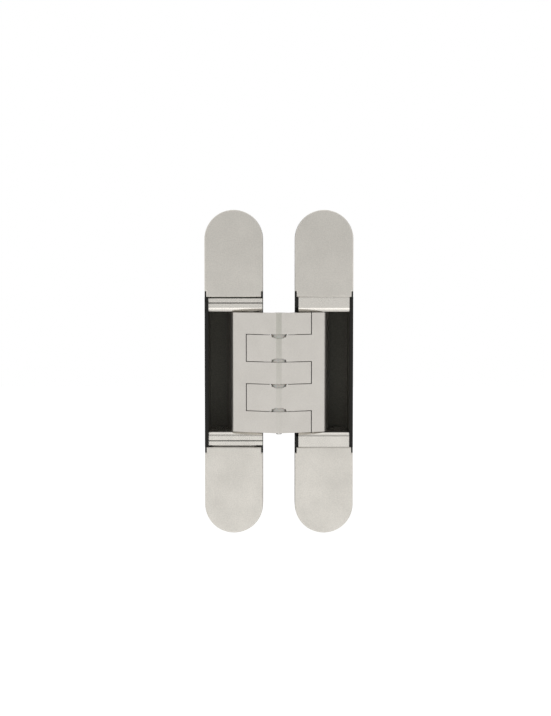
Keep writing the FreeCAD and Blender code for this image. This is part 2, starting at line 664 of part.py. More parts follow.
def blockSolid(face, frontEnd, inside):
    """A top end block in the frame leaf: it holds the pivot pin, guides a slide bush and reaches under the cover.

    Its front, down to the back of the cover, ends at frontEnd, and reaches to inside on the knuckle's side.
    """
    half = cavityHalf - size["blockSide"]
    under = size["coverThick"] + size["coverPlay"]
    front = under + size["lipChamfer"] + size["coverPlay"]
    body = box(-half, half, front, size["blockDeep"], size["blockStart"], size["blockEnd"])
    body = body.makeFillet(size["cavityCorner"], [edge for edge in body.Edges if cornerEdge(edge)])
    nose = box(-half, inside, face, front, size["blockStart"], frontEnd)
    nose = nose.makeChamfer(size["lipChamfer"], [edge for edge in nose.Edges if lipEdge(edge, face)])
    body = body.fuse(nose)
    tongueBack = size["tongueFace"] + size["tongueThick"]
    tongueHalf = size["tongueHalf"]
    tongue = box(-tongueHalf, tongueHalf, size["tongueFace"], tongueBack, size["blockEnd"] - 2, size["tongueEnd"])
    tongue = tongue.makeFillet(size["tongueCorner"], [edge for edge in tongue.Edges if tipEdge(edge)])
    solid = body.fuse(tongue).removeSplitter()
    pivot = FreeCAD.Vector(size["pivotAcross"], pivotDepth, 0)
    solid = solid.cut(rod(pivot, size["pivotRadius"], size["blockStart"] - 1, size["slideBushEnd"]))
    return solid.cut(slotSolid(size["blockStart"] - 1, size["slideBushEnd"] + size["blockGap"], size["slotPlay"]))


def cornerEdge(edge):
    return edge.BoundBox.YLength > 5 and liesAt(edge, "Z", size["blockEnd"])


def lipEdge(edge, face):
    return liesAt(edge, "Z", size["blockStart"]) and liesAt(edge, "Y", face)


def tipEdge(edge):
    return liesAt(edge, "Z", size["tongueEnd"]) and edge.BoundBox.YLength > 1


def frameBlock(sign):
    """A frame block: a groove across its face, and a slotted tongue that the clamp screw holds at a height."""
    face = size["coverThick"] + size["coverPlay"]
    inside = leafHalf - size["blockInset"]
    solid = blockSolid(face, size["coverEdge"] - size["coverGap"], inside)
    grooveEnd = size["grooveAt"] + size["grooveWide"]
    solid = solid.cut(box(-leafHalf, leafHalf, face - 1, face + size["grooveDeep"], size["grooveAt"], grooveEnd))
    reach = size["clampRadius"] + size["clampPlay"]
    travel = size["heightTravel"] + size["clampPlay"]
    yLow = size["tongueFace"] - 1
    yHigh = size["tongueFace"] + size["tongueThick"] + 1
    slot = box(-reach, reach, yLow, yHigh, size["clampAt"] - travel, size["clampAt"] + travel)
    for way in (1, -1):
        end = FreeCAD.Vector(0, yLow, size["clampAt"] + way * travel)
        slot = slot.fuse(Part.makeCylinder(reach, yHigh - yLow, end, FreeCAD.Vector(0, 1, 0)))
    return toEnd(sign, solid.cut(slot))


def doorBlock(sign):
    """A door block: plain, nearly level with its cover, with a bore for the depth screw in its tongue."""
    solid = blockSolid(size["doorBlockFace"], size["coverEdge"] - size["coverPlay"], cavityHalf - size["blockSide"])
    start = FreeCAD.Vector(0, size["tongueFace"] - 1, size["clampAt"])
    through = size["tongueThick"] + 2
    bore = Part.makeCylinder(size["clampRadius"] + size["runningFit"], through, start, FreeCAD.Vector(0, 1, 0))
    return toLeaf(doorSide, toEnd(sign, solid.cut(bore)))


for name, sign in (("top", 1), ("bottom", -1)):
    addFeature(f"frame_block_{name}", frameBlock(sign))
    addFeature(f"door_block_{name}", doorBlock(sign))


def addTube(label, point, radius, bore, low, high):
    """A round piece along Z between two heights given as expressions, with a bore through it where one is given."""
    outer = doc.addObject("Part::Cylinder", f"{label}Outer")
    outer.Placement = FreeCAD.Placement(FreeCAD.Vector(point.x, point.y, 0), FreeCAD.Rotation())
    outer.setExpression("Radius", cell(radius))
    outer.setExpression("Height", cell(f"( {high} ) - ( {low} )"))
    outer.setExpression("Placement.Base.z", cell(low))
    doc.recompute()
    if not bore:
        return keep(outer, label)
    inner = doc.addObject("Part::Cylinder", f"{label}Inner")
    inner.Placement = outer.Placement
    inner.setExpression("Radius", cell(bore))
    inner.setExpression("Height", cell(f"( {high} ) - ( {low} )"))
    inner.setExpression("Placement.Base.z", cell(low))
    cut = doc.addObject("Part::Cut", f"{label}Cut")
    cut.Base = outer
    cut.Tool = inner
    doc.recompute()
    return keep(cut, label)


# Pins along Z
framePivot = place(frameSide, *pivotFromCentre)
doorPivot = place(doorSide, *pivotFromCentre)
frameSlide = place(frameSide, *slideFromCentre)
doorSlide = place(doorSide, *slideFromCentre)
addTube("frame_pivot_pin", framePivot, "pivotRadius", None, "-1 * pinEnd", "pinEnd")
addTube("door_pivot_pin", doorPivot, "pivotRadius", None, "-1 * pinEnd", "pinEnd")
addTube("frame_slide_pin", frameSlide, "slideRadius", None, "-1 * slideBushEnd", "slideBushEnd")
addTube("door_slide_pin", doorSlide, "slideRadius", None, "-1 * slideBushEnd", "slideBushEnd")

centre = place(frameSide, 0, 0)
shank = rod(centre, size["centreRadius"], -size["armHalf"], size["armHalf"] - size["centreSunk"])
headEnd = -size["armHalf"] - size["centreHeadOut"]
head = rod(centre, size["centreHeadRadius"], headEnd, -size["armHalf"])
head = head.makeChamfer(size["centreHeadChamfer"], [edge for edge in head.Edges if liesAt(edge, "Z", headEnd)])
addFeature("centre_pin", shank.fuse(head).removeSplitter())

# Bushes pressed on the slide pins' ends, which run in the blocks' slots
for leaf, point in (("frame", frameSlide), ("door", doorSlide)):
    label = f"{leaf}_slide_bush"
    addTube(f"{label}_top", point, "slideBushRadius", "slideRadius", "slideBushStart", "slideBushEnd")
    addTube(f"{label}_bottom", point, "slideBushRadius", "slideRadius", "-1 * slideBushEnd", "-1 * slideBushStart")

# Bushes on the pivot pins, one in each finger
for leaf, point, rows in (("frame", framePivot, twoRows), ("door", doorPivot, threeRows)):
    for number, (low, high) in enumerate(rows, start=1):
        addTube(f"{leaf}_pivot_bush_{number}", point, "bushRadius", "pivotRadius + runningFit", low, high)

# Washers on the centre pin, in the seats of the two-finger arm
number = 0
for low, high in twoRows:
    for ends in ((f"{low} - rowSlit", f"{low} + washerThick"), (f"{high} - washerThick", f"{high} + rowSlit")):
        number += 1
        addTube(f"centre_washer_{number}", centre, "washerRadius", "centreRadius + runningFit", *ends)


def screwSolid(side, sign):
    """A screw along Y with a flat head on the tongue and a hexagon recess."""
    back = FreeCAD.Vector(0, 1, 0)
    seat = FreeCAD.Vector(0, size["tongueFace"], size["clampAt"])
    shank = Part.makeCylinder(size["clampRadius"], size["clampLong"], seat, back)
    headStart = FreeCAD.Vector(0, size["tongueFace"] - size["clampHeadThick"], size["clampAt"])
    head = Part.makeCylinder(size["clampHeadRadius"], size["clampHeadThick"], headStart, back)
    corners = []
    for number in range(7):
        angle = math.radians(60 * number)
        x = size["driveRadius"] * math.cos(angle)
        z = size["clampAt"] + size["driveRadius"] * math.sin(angle)
        corners.append(FreeCAD.Vector(x, headStart.y, z))
    drive = Part.Face(Part.makePolygon(corners)).extrude(FreeCAD.Vector(0, size["driveDeep"], 0))
    return toLeaf(side, toEnd(sign, shank.fuse(head).cut(drive).removeSplitter()))


for name, sign in (("top", 1), ("bottom", -1)):
    addFeature(f"frame_clamp_screw_{name}", screwSolid(frameSide, sign))
    addFeature(f"door_depth_screw_{name}", screwSolid(doorSide, sign))

doc.recompute()
for feature in doc.Objects:
    if {"Invalid", "Error"} & set(feature.State):
        raise ValueError(f"{feature.Label} failed: {feature.State}")
for feature in parts:
    if feature.Shape.isNull() or not feature.Shape.isValid():
        raise ValueError(f"{feature.Label} has no valid shape")
os.makedirs("parts", exist_ok=True)
for feature in parts:
    feature.Shape.exportStep(f"parts/{feature.Label}.step")
    print(feature.Label, len(feature.Shape.Solids), round(feature.Shape.Volume, 1))
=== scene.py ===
import math
import bmesh
import bpy
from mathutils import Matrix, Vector


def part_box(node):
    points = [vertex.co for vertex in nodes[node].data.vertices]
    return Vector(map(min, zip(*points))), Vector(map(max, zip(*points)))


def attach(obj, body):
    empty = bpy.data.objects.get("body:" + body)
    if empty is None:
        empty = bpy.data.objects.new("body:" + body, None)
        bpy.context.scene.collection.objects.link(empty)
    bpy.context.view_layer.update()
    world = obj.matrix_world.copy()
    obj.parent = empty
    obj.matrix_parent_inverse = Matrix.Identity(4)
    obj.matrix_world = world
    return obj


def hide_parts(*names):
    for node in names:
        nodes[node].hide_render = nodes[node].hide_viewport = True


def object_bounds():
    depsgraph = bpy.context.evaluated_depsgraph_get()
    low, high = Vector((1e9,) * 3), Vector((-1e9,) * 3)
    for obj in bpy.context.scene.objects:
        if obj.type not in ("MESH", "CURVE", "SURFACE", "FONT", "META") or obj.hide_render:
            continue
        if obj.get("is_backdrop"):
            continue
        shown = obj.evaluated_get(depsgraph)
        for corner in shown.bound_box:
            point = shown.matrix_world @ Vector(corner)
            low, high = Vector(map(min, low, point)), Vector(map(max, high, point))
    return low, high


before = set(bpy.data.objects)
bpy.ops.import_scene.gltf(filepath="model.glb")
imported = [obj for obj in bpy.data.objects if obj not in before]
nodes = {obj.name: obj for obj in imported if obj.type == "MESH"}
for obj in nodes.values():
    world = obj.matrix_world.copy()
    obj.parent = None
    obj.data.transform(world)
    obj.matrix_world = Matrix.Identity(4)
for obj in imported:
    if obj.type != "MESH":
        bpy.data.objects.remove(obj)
cadLow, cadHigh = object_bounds()
scene = bpy.context.scene
print("loaded", len(nodes), "pieces")


def mm(value):
    return value / 1000


# Shader helpers

def makeGroup(name, inputs, outputs, kind="ShaderNodeTree"):
    tree = bpy.data.node_groups.new(name, kind)
    for label, socketKind, default in inputs:
        socket = tree.interface.new_socket(label, in_out="INPUT", socket_type=socketKind)
        if default is not None:
            socket.default_value = default
    for label, socketKind in outputs:
        tree.interface.new_socket(label, in_out="OUTPUT", socket_type=socketKind)
    return tree, tree.nodes.new("NodeGroupInput"), tree.nodes.new("NodeGroupOutput")


def mathNode(tree, operation, first, second=None):
    node = tree.nodes.new("ShaderNodeMath")
    node.operation = operation
    for index, value in enumerate((first, second)):
        if value is None:
            continue
        if isinstance(value, (int, float)):
            node.inputs[index].default_value = value
        else:
            tree.links.new(value, node.inputs[index])
    return node.outputs[0]


def scaled(tree, place, scale):
    node = tree.nodes.new("ShaderNodeVectorMath")
    node.operation = "SCALE"
    tree.links.new(place, node.inputs[0])
    tree.links.new(scale, node.inputs["Scale"])
    return node.outputs[0]


def noise(tree, place, sizes):
    node = tree.nodes.new("ShaderNodeTexNoise")
    node.inputs["Scale"].default_value = 1
    node.inputs["Detail"].default_value = sizes["detail"]
    node.inputs["Roughness"].default_value = sizes["roughness"]
    tree.links.new(place, node.inputs["Vector"])
    return node.outputs["Fac"]


def spread(tree, value, low, high, fromLow=0.3, fromHigh=0.7):
    node = tree.nodes.new("ShaderNodeMapRange")
    tree.links.new(value, node.inputs["Value"])
    node.inputs["From Min"].default_value = fromLow
    node.inputs["From Max"].default_value = fromHigh
    for label, end in (("To Min", low), ("To Max", high)):
        if isinstance(end, (int, float)):
            node.inputs[label].default_value = end
        else:
            tree.links.new(end, node.inputs[label])
    return node.outputs["Result"]


# Where a mix node has its colours, after its numbers and vectors
mixSockets = {"first": 6, "second": 7, "mixed": 2}


def mixColour(tree, share, first, second):
    node = tree.nodes.new("ShaderNodeMix")
    node.data_type = "RGBA"
    tree.links.new(share, node.inputs["Factor"])
    tree.links.new(first, node.inputs[mixSockets["first"]])
    tree.links.new(second, node.inputs[mixSockets["second"]])
    return node.outputs[mixSockets["mixed"]]


def bandMask(tree, value, low, high, soft):
    rising = spread(tree, value, 0, 1, low - soft, low)
    falling = spread(tree, value, 1, 0, high, high + soft)
    return mathNode(tree, "MULTIPLY", rising, falling)


# The centre pin's upright axis
centrePin = {"across": mm(22.25), "back": mm(-14)}


# A region is given in mm as low, high and soft edge: from the hinge's middle plane, back from the
# front, up, up or down from the centre, or from the centre pin's axis
def regionMask(tree, place, region):
    parted = tree.nodes.new("ShaderNodeSeparateXYZ")
    tree.links.new(place, parted.inputs[0])
    across = mathNode(tree, "SUBTRACT", parted.outputs["X"], centrePin["across"])
    values = {
        "fromMiddle": mathNode(tree, "ABSOLUTE", across),
        "back": parted.outputs["Y"],
        "height": parted.outputs["Z"],
        "fromCentre": mathNode(tree, "ABSOLUTE", parted.outputs["Z"]),
    }
    if "fromPin" in region:
        behind = mathNode(tree, "SUBTRACT", parted.outputs["Y"], centrePin["back"])
        squares = [
            mathNode(tree, "POWER", distance, 2)
            for distance in (values["fromMiddle"], mathNode(tree, "ABSOLUTE", behind))
        ]
        values["fromPin"] = mathNode(tree, "SQRT", mathNode(tree, "ADD", *squares))
    mask = None
    for key, (low, high, soft) in region.items():
        band = bandMask(tree, values[key], mm(low), mm(high), mm(soft))
        mask = band if mask is None else mathNode(tree, "MULTIPLY", mask, band)
    return mask


# What each group hands on besides a grain's or a skin's colour
roughOutputs = [("Roughness", "NodeSocketFloat"), ("Height", "NodeSocketFloat")]
skinOutputs = [("Colour", "NodeSocketColor")] + roughOutputs

# Grain of a blasted and plated surface: fine speckle over a broad, faint mottle
grainSizes = {
    "speckle": {"detail": 2, "roughness": 0.6},
    "mottle": {"detail": 3, "roughness": 0.5},
    "speckleShare": 0.6,
    "mottleShare": 0.4,
    "darkAt": 0.36,
    "lightAt": 0.64,
}
grainTree, given, made = makeGroup(
    "satinGrain",
    [
        ("Place", "NodeSocketVector", None),
        ("Speckles per metre", "NodeSocketFloat", 2200.0),
        ("Mottles per metre", "NodeSocketFloat", 90.0),
        ("Light", "NodeSocketColor", (0.6, 0.58, 0.55, 1)),
        ("Dark", "NodeSocketColor", (0.5, 0.48, 0.45, 1)),
        ("Smoothest", "NodeSocketFloat", 0.3),
        ("Roughest", "NodeSocketFloat", 0.42),
    ],
    skinOutputs,
)
fine = scaled(grainTree, given.outputs["Place"], given.outputs["Speckles per metre"])
speckle = noise(grainTree, fine, grainSizes["speckle"])
broad = scaled(grainTree, given.outputs["Place"], given.outputs["Mottles per metre"])
mottle = noise(grainTree, broad, grainSizes["mottle"])
both = mathNode(
    grainTree, "ADD",
    mathNode(grainTree, "MULTIPLY", speckle, grainSizes["speckleShare"]),
    mathNode(grainTree, "MULTIPLY", mottle, grainSizes["mottleShare"]),
)
share = spread(grainTree, both, 0, 1, grainSizes["darkAt"], grainSizes["lightAt"])
tone = mixColour(grainTree, share, given.outputs["Dark"], given.outputs["Light"])
rough = spread(grainTree, both, given.outputs["Roughest"], given.outputs["Smoothest"])
grainTree.links.new(tone, made.inputs["Colour"])
grainTree.links.new(rough, made.inputs["Roughness"])
grainTree.links.new(speckle, made.inputs["Height"])

# Marks that a lathe leaves round a pin, as fine bands along the piece's own axis
turnSizes = {"wander": {"detail": 1, "roughness": 0.5}, "wanderShare": 0.8}
turnTree, given, made = makeGroup(
    "turningMarks",
    [
        ("Place", "NodeSocketVector", None),
        ("Axis", "NodeSocketVector", (0, 0, 1)),
        ("Bands per metre", "NodeSocketFloat", 4000.0),
        ("Smoothest", "NodeSocketFloat", 0.18),
        ("Roughest", "NodeSocketFloat", 0.34),
    ],
    roughOutputs,
)
along = turnTree.nodes.new("ShaderNodeVectorMath")
along.operation = "DOT_PRODUCT"
turnTree.links.new(given.outputs["Place"], along.inputs[0])
turnTree.links.new(given.outputs["Axis"], along.inputs[1])
bandPlace = scaled(turnTree, given.outputs["Place"], given.outputs["Bands per metre"])
wander = noise(turnTree, bandPlace, turnSizes["wander"])
turns = mathNode(turnTree, "MULTIPLY", along.outputs["Value"], given.outputs["Bands per metre"])
stray = mathNode(turnTree, "MULTIPLY", wander, turnSizes["wanderShare"])
wave = mathNode(turnTree, "PINGPONG", mathNode(turnTree, "ADD", turns, stray), 1.0)
rough = spread(turnTree, wave, given.outputs["Smoothest"], given.outputs["Roughest"], 0, 1)
turnTree.links.new(rough, made.inputs["Roughness"])
turnTree.links.new(wave, made.inputs["Height"])

# Skin of a powder-coated casting: a soft orange peel with a faint change of tone
castSizes = {"cloud": {"detail": 3, "roughness": 0.6}, "darkAt": 0.35, "lightAt": 0.65}
castTree, given, made = makeGroup(
    "castSkin",
    [
        ("Place", "NodeSocketVector", None),
        ("Peel per metre", "NodeSocketFloat", 1400.0),
        ("Light", "NodeSocketColor", (0.03, 0.03, 0.03, 1)),
        ("Dark", "NodeSocketColor", (0.015, 0.015, 0.015, 1)),
        ("Smoothest", "NodeSocketFloat", 0.4),
        ("Roughest", "NodeSocketFloat", 0.6),
    ],
    skinOutputs,
)
peelPlace = scaled(castTree, given.outputs["Place"], given.outputs["Peel per metre"])
peel = castTree.nodes.new("ShaderNodeTexVoronoi")
peel.feature = "SMOOTH_F1"
peel.inputs["Scale"].default_value = 1
castTree.links.new(peelPlace, peel.inputs["Vector"])
cloud = noise(castTree, peelPlace, castSizes["cloud"])
share = spread(castTree, cloud, 0, 1, castSizes["darkAt"], castSizes["lightAt"])
tone = mixColour(castTree, share, given.outputs["Dark"], given.outputs["Light"])
rough = spread(castTree, cloud, given.outputs["Smoothest"], given.outputs["Roughest"])
castTree.links.new(tone, made.inputs["Colour"])
castTree.links.new(rough, made.inputs["Roughness"])
castTree.links.new(peel.outputs["Distance"], made.inputs["Height"])


def startMaterial(name):
    material = bpy.data.materials.new(name)
    material.use_nodes = True
    tree = material.node_tree
    shader = tree.nodes["Principled BSDF"]
    place = tree.nodes.new("ShaderNodeTexCoord").outputs["Object"]
    return material, tree, shader, place


def placeGroup(tree, group, place, values):
    node = tree.nodes.new("ShaderNodeGroup")
    node.node_tree = group
    tree.links.new(place, node.inputs["Place"])
    for label, value in values.items():
        node.inputs[label].default_value = value
    return node


def addBump(tree, shader, height, distance, strength):
    bump = tree.nodes.new("ShaderNodeBump")
    bump.inputs["Distance"].default_value = distance
    bump.inputs["Strength"].default_value = strength
    tree.links.new(height, bump.inputs["Height"])
    tree.links.new(bump.outputs["Normal"], shader.inputs["Normal"])


# Satin metal or moulded plastic: one grain, with other tones, painted shade among them, in the
# patches that are named
def grainedMaterial(name, sizes):
    material, tree, shader, place = startMaterial(name)
    grain = placeGroup(tree, grainTree, place, {
        "Speckles per metre": sizes["speckles"],
        "Mottles per metre": sizes["mottles"],
        "Light": sizes["light"],
        "Dark": sizes["dark"],
        "Smoothest": sizes["smoothest"],
        "Roughest": sizes["roughest"],
    })
    colour = grain.outputs["Colour"]
    for patch in sizes.get("patches", []):
        other = placeGroup(tree, grainTree, place, {
            "Speckles per metre": sizes["speckles"],
            "Mottles per metre": sizes["mottles"],
            "Light": patch["light"],
            "Dark": patch["dark"],
        })
        mask = regionMask(tree, place, patch["region"])
        colour = mixColour(tree, mask, colour, other.outputs["Colour"])
    tree.links.new(colour, shader.inputs["Base Color"])
    tree.links.new(grain.outputs["Roughness"], shader.inputs["Roughness"])
    addBump(tree, shader, grain.outputs["Height"], sizes["bump"], sizes["bumpStrength"])
    for label, value in sizes["shader"].items():
        shader.inputs[label].default_value = value
    return material


satinCover = {
    "speckles": 1900.0,
    "mottles": 70.0,
    "light": (0.68, 0.652, 0.60, 1),
    "dark": (0.575, 0.552, 0.508, 1),
    "smoothest": 0.36,
    "roughest": 0.46,
    "shader": {"Metallic": 0.85},
    "bump": mm(0.02),
    "bumpStrength": 0.35,
}
satinSilver = {
    "speckles": 2100.0,
    "mottles": 110.0,
    "light": (0.645, 0.618, 0.575, 1),
    "dark": (0.588, 0.562, 0.522, 1),
    "smoothest": 0.34,
    "roughest": 0.44,
    "shader": {"Metallic": 0.85},
    "bump": mm(0.02),
    "bumpStrength": 0.3,
    "patches": [
        {  # the barrel's front, painted darker as shade, most at its top
            "region": {
                "fromMiddle": (0, 1.3, 0.15), "back": (-30, -17.1, 0.2), "height": (27, 99, 62),
            },
            "light": (0.545, 0.53, 0.478, 1),
            "dark": (0.48, 0.467, 0.42, 1),
        },
        {  # the washers' outer seats, painted dark as shade in their recess
            "region": {
                "fromPin": (0, 4.75, 0.05), "fromCentre": (17.9, 18.8, 0.4),
                "fromMiddle": (3.1, 9, 0.7),
            },
            "light": (0.10, 0.096, 0.084, 1),
            "dark": (0.06, 0.058, 0.05, 1),
        },
        {  # the washers' inner seats, painted dark as shade in their recess
            "region": {
                "fromPin": (0, 4.75, 0.05), "fromCentre": (5.6, 6.5, 0.4),
                "fromMiddle": (3.1, 9, 0.7),
            },
            "light": (0.10, 0.096, 0.084, 1),
            "dark": (0.06, 0.058, 0.05, 1),
        },
        {  # the slits at the fingers' ends, painted dark as shade in the narrow cut
            "region": {
                "fromMiddle": (15.86, 16.29, 0.03), "back": (-12.55, 30, 0.1),
                "fromCentre": (0, 29.3, 0.1),
            },
            "light": (0.05, 0.048, 0.042, 1),
            "dark": (0.03, 0.029, 0.025, 1),
        },
    ],
}
blockMetal = {
    "speckles": 2600.0,
    "mottles": 150.0,
    "light": (0.78, 0.75, 0.695, 1),
    "dark": (0.69, 0.662, 0.612, 1),
    "smoothest": 0.22,
    "roughest": 0.3,
    "shader": {"Metallic": 0.95},
    "bump": mm(0.012),
    "bumpStrength": 0.25,
    "patches": [
        {  # the end that faces the cover, painted dark as shade in the gap under the cover
            "region": {"fromCentre": (36.3, 39, 0.1), "back": (-9.85, 30, 0.1)},
            "light": (0.06, 0.058, 0.051, 1),
            "dark": (0.04, 0.039, 0.034, 1),
        },
        {  # the lower blocks, painted a little darker as shade
            "region": {"height": (-60, -29.5, 0.3)},
            "light": (0.67, 0.645, 0.597, 1),
            "dark": (0.58, 0.558, 0.515, 1),
        },
        {  # the upper lips, painted darker to tone down their highlight
            "region": {"height": (29.5, 31.1, 0.3)},
            "light": (0.60, 0.577, 0.533, 1),
            "dark": (0.52, 0.499, 0.462, 1),
        },
        {  # painted shade in the groove
            "region": {
                "fromCentre": (33.7, 34.8, 0.05), "back": (-9.9, -8.9, 0.1),
                "fromMiddle": (7, 60, 0.1),
            },
            "light": (0.22, 0.213, 0.19, 1),
            "dark": (0.14, 0.136, 0.12, 1),
        },
    ],
}
materials = {
    "satin_cover": grainedMaterial("satinNickelCover", satinCover),
    "satin_silver": grainedMaterial("satinSilverArm", satinSilver),
    "block_metal": grainedMaterial("blockMetal", blockMetal),
}

# Black casting
blackCasting = {
    "peel": 1500.0,
    "light": (0.0125, 0.0121, 0.010, 1),
    "dark": (0.007, 0.0067, 0.0055, 1),
    "paintedLitLight": (0.158, 0.153, 0.129, 1),
    "paintedLitDark": (0.112, 0.108, 0.09, 1),
    "paintedLitDepth": {"back": (4.0, 40.0, 14.5)},  # painted light: the cavity's skin is painted lighter with depth, where little light reaches
    "smoothest": 0.42,
    "roughest": 0.62,
    "bump": mm(0.05),
    "bumpStrength": 0.25,
    "shine": 0.25,
}
material, tree, shader, place = startMaterial("blackCasting")
skin = placeGroup(tree, castTree, place, {
    "Peel per metre": blackCasting["peel"],
    "Light": blackCasting["light"],
    "Dark": blackCasting["dark"],
    "Smoothest": blackCasting["smoothest"],
    "Roughest": blackCasting["roughest"],
})
# Painted light: the cavity's faces get a lighter skin that grows with depth, standing in for light
# the deep cavity lacks
paintedLitSkin = placeGroup(tree, castTree, place, {
    "Peel per metre": blackCasting["peel"],
    "Light": blackCasting["paintedLitLight"],
    "Dark": blackCasting["paintedLitDark"],
})
hollow = tree.nodes.new("ShaderNodeAttribute")
hollow.attribute_name = "hollow"
paintedLitDepth = regionMask(tree, place, blackCasting["paintedLitDepth"])
paintedLitShare = mathNode(tree, "MULTIPLY", hollow.outputs["Fac"], paintedLitDepth)
coatAndPaintedLight = mixColour(tree, paintedLitShare, skin.outputs["Colour"], paintedLitSkin.outputs["Colour"])
tree.links.new(coatAndPaintedLight, shader.inputs["Base Color"])
tree.links.new(skin.outputs["Roughness"], shader.inputs["Roughness"])
addBump(tree, shader, skin.outputs["Height"], blackCasting["bump"], blackCasting["bumpStrength"])
shader.inputs["Specular IOR Level"].default_value = blackCasting["shine"]
materials["black_casting"] = material


# Turned and drawn steel, with its grain under the lathe's marks
def steelMaterial(name, sizes):
    material, tree, shader, place = startMaterial(name)
    grain = placeGroup(tree, grainTree, place, {
        "Speckles per metre": sizes["speckles"],
        "Light": sizes["light"],
        "Dark": sizes["dark"],
    })
    marks = placeGroup(tree, turnTree, place, {
        "Axis": sizes["axis"],
        "Bands per metre": sizes["bands"],
        "Smoothest": sizes["smoothest"],
        "Roughest": sizes["roughest"],
    })
    tree.links.new(grain.outputs["Colour"], shader.inputs["Base Color"])
    tree.links.new(marks.outputs["Roughness"], shader.inputs["Roughness"])
    addBump(tree, shader, marks.outputs["Height"], sizes["bump"], sizes["bumpStrength"])
    shader.inputs["Metallic"].default_value = 1
    return material


pinSteel = {
    "speckles": 1600.0,
    "light": (0.58, 0.57, 0.55, 1),
    "dark": (0.47, 0.46, 0.44, 1),
    "axis": (0, 0, 1),
    "bands": 3600.0,
    "smoothest": 0.2,
    "roughest": 0.32,
    "bump": mm(0.012),
    "bumpStrength": 0.3,
}
screwSteel = {
    "speckles": 1800.0,
    "light": (0.46, 0.45, 0.43, 1),
    "dark": (0.36, 0.35, 0.335, 1),
    "axis": (0, 1, 0),
    "bands": 3000.0,
    "smoothest": 0.24,
    "roughest": 0.38,
    "bump": mm(0.012),
    "bumpStrength": 0.3,
}
materials["pin_steel"] = steelMaterial("pinSteel", pinSteel)
materials["screw_steel"] = steelMaterial("screwSteel", screwSteel)


# Moulded plastic
bushPlastic = {
    "speckles": 1500.0,
    "mottles": 260.0,
    "light": (0.78, 0.765, 0.72, 1),
    "dark": (0.7, 0.685, 0.64, 1),
    "smoothest": 0.38,
    "roughest": 0.5,
    "bump": mm(0.015),
    "bumpStrength": 0.3,
    "shader": {"Subsurface Weight": 0.0, "Subsurface Scale": mm(0.6)},
}
washerPlastic = {
    "speckles": 1500.0,
    "mottles": 260.0,
    "light": (0.7, 0.68, 0.63, 1),
    "dark": (0.6, 0.58, 0.53, 1),
    "smoothest": 0.4,
    "roughest": 0.52,
    "bump": mm(0.015),
    "bumpStrength": 0.3,
    "shader": {"Subsurface Weight": 0.08, "Subsurface Scale": mm(0.6)},
}
materials["bush_plastic"] = grainedMaterial("bushPlastic", bushPlastic)
materials["washer_plastic"] = grainedMaterial("washerPlastic", washerPlastic)
print("made", len(materials), "finishes")


# Meshes

def finishPiece(name, mesh, body, slotName, stoodFor):
    mesh.materials.clear()
    mesh.materials.append(materials[slotName])
    piece = bpy.data.objects.new(name, mesh)
    scene.collection.objects.link(piece)
    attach(piece, body)
    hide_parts(*stoodFor)
    return piece


# How the meshes are cleaned: what counts as one point and as one plane, and where a built
# mesh turns sharply
cleaning = {
    "weld": mm(0.002), "flat": math.radians(0.6),
    "builtWeld": mm(0.0005), "sharp": math.radians(32),
}


def mergedCopy(node, name):
    work = bmesh.new()
    work.from_mesh(nodes[node].data)
    bmesh.ops.remove_doubles(work, verts=work.verts, dist=cleaning["weld"])
    bmesh.ops.dissolve_limit(work, angle_limit=cleaning["flat"], verts=work.verts, edges=work.edges)
    mesh = bpy.data.meshes.new(name)
    work.to_mesh(mesh)
    work.free()
    mesh.shade_smooth()
    return mesh


def evaluatedMesh(piece, name):
    bpy.context.view_layer.update()
    graph = bpy.context.evaluated_depsgraph_get()
    mesh = bpy.data.meshes.new_from_object(piece.evaluated_get(graph), depsgraph=graph)
    mesh.name = name
    bpy.data.objects.remove(piece)
    return mesh


# Rounds a block's lip, deepens a frame block's groove and lengthens a door block
def easeLip(mesh, node, lip):
    low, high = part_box(node)
    work = bmesh.new()
    work.from_mesh(mesh)
    strips = [lip["start"] + lip["long"] * step / lip["strips"] for step in range(1, lip["strips"])]
    for height in strips + [-height for height in strips]:
        everything = work.verts[:] + work.edges[:] + work.faces[:]
        bmesh.ops.bisect_plane(work, geom=everything, plane_co=(0, 0, height), plane_no=(0, 0, 1))
    for vertex in work.verts:
        height = abs(vertex.co.z)
        fromFace = lip["start"] + lip["long"] - height
        offChamfer = abs(vertex.co.y - low.y - fromFace)
        if fromFace > lip["slack"] and offChamfer < lip["chamferSlack"]:
            vertex.co.y = low.y + lip["radius"] - math.sqrt(lip["radius"] ** 2 - fromFace ** 2)
        inGroove = lip["grooveFrom"] - lip["reach"] < height < lip["grooveTo"] + lip["reach"]
        if inGroove and vertex.co.y < low.y + lip["grooveReach"]:
            vertex.co.z += math.copysign(lip["grooveShift"], vertex.co.z)
            if vertex.co.y > low.y + lip["grooveFloorFrom"]:
                vertex.co.y += lip["grooveShift"]
        if abs(height - lip["plainEnd"]) < lip["reach"]:
            vertex.co.z += math.copysign(lip["plainShift"], vertex.co.z)
    work.to_mesh(mesh)
    work.free()


def softEdged(node, name, edge):
    rough = mergedCopy(node, name + "Rough")
    if "lip" in edge:
        easeLip(rough, node, edge["lip"])
    rough.set_sharp_from_angle(angle=math.radians(edge["angle"]))
    work = bpy.data.objects.new(name + "Work", rough)
    scene.collection.objects.link(work)
    bevel = work.modifiers.new("softEdge", "BEVEL")
    bevel.width = edge["width"]
    bevel.segments = edge["steps"]
    bevel.limit_method = "ANGLE"
    bevel.angle_limit = math.radians(edge["angle"])
    bevel.use_clamp_overlap = True
    bevel.harden_normals = True
    return evaluatedMesh(work, name)


